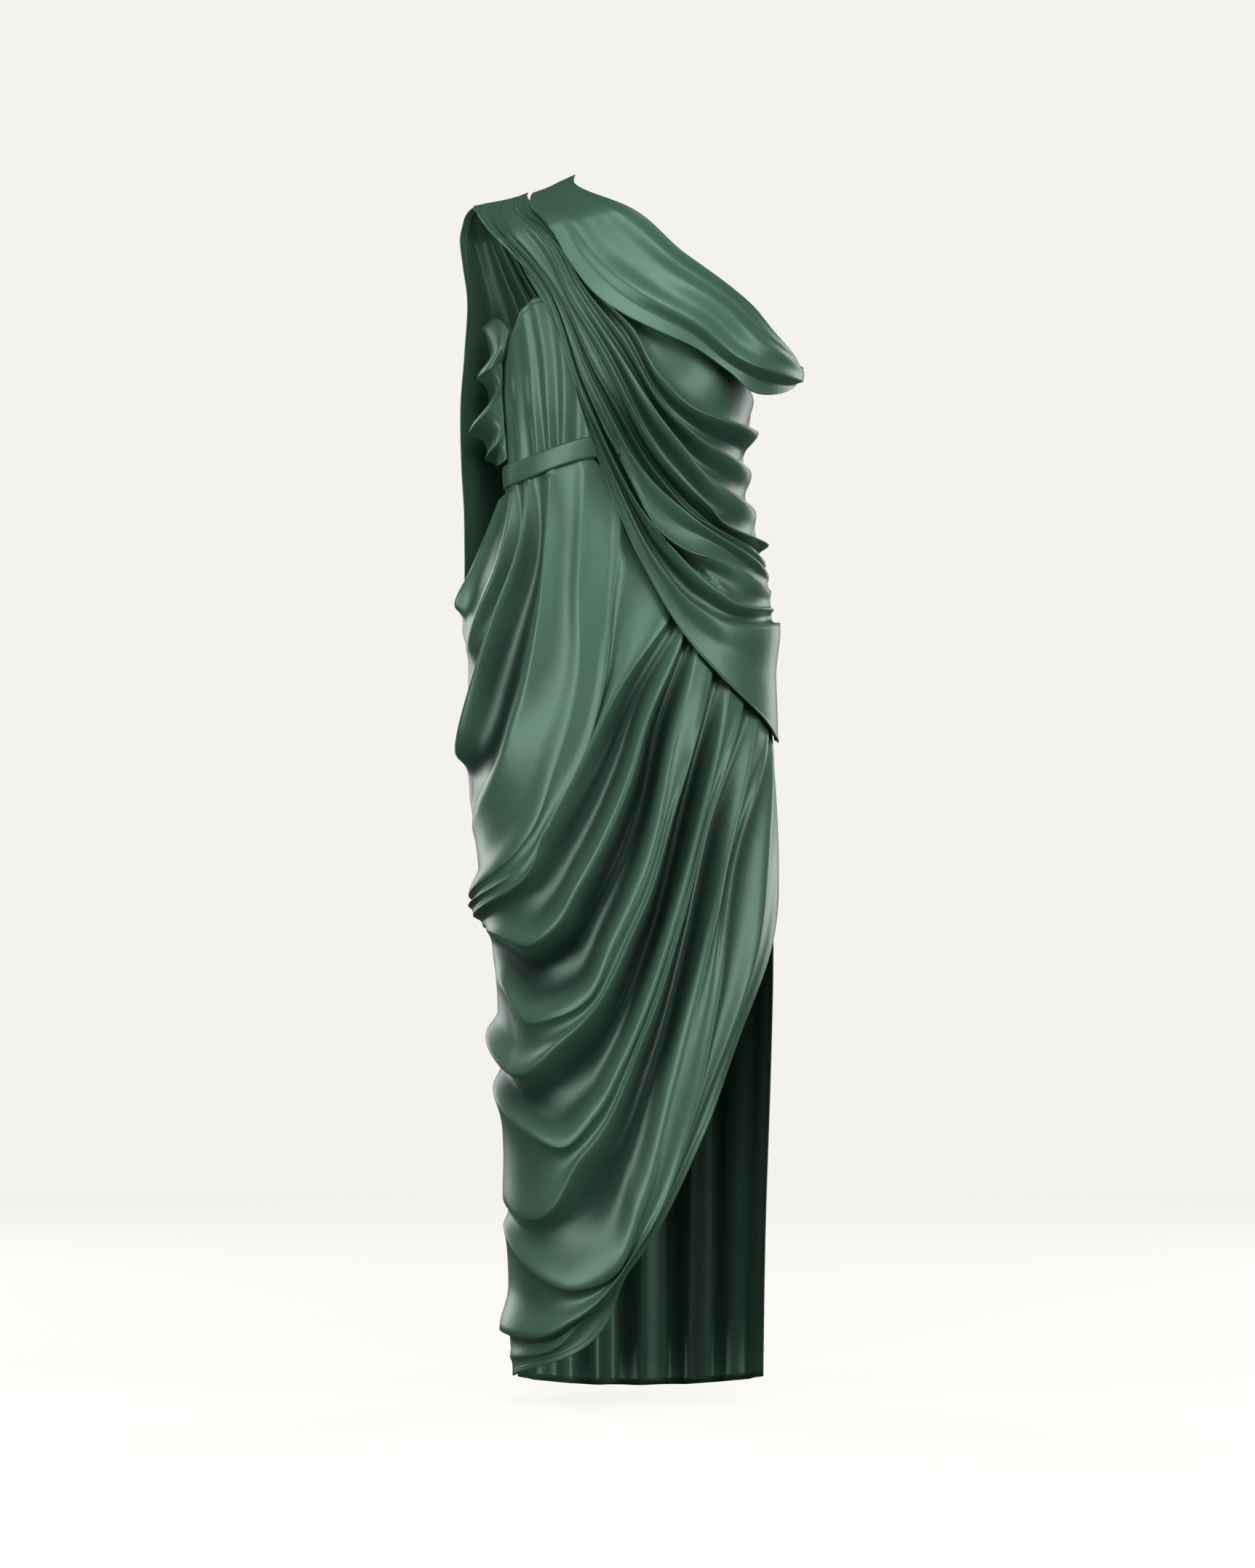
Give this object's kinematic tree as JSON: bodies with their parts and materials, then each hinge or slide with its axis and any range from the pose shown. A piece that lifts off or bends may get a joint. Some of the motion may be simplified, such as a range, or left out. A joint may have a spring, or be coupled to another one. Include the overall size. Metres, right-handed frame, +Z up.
{
  "type": "long one-shoulder dress",
  "caption": "Long one-shoulder dress with a fold-over neck band, a draped sash front, a narrow waist tie and a slung, gathered skirt with a side slit, hollow in its worn shape.",
  "frame": {"origin": "on top of the wearer's shoulder, in the middle of the gathered strap's underside", "axes": "+Z up along the dress, -Y out of its front, +X towards the picture's right, which is the wearer's left side"},
  "size_m": [0.3945, 0.3018, 1.376],
  "materials": {
    "satin": "dark green satin with a soft sheen"
  },
  "bodies": {
    "root": {"collar_front": "satin", "collar_back": "satin", "front_drape": "satin", "back_drape": "satin", "bodice_front": "satin", "bodice_back": "satin", "side_flounce": "satin", "waist_tie": "satin", "skirt_front": "satin", "skirt_back": "satin"}
  },
  "joints": []
}
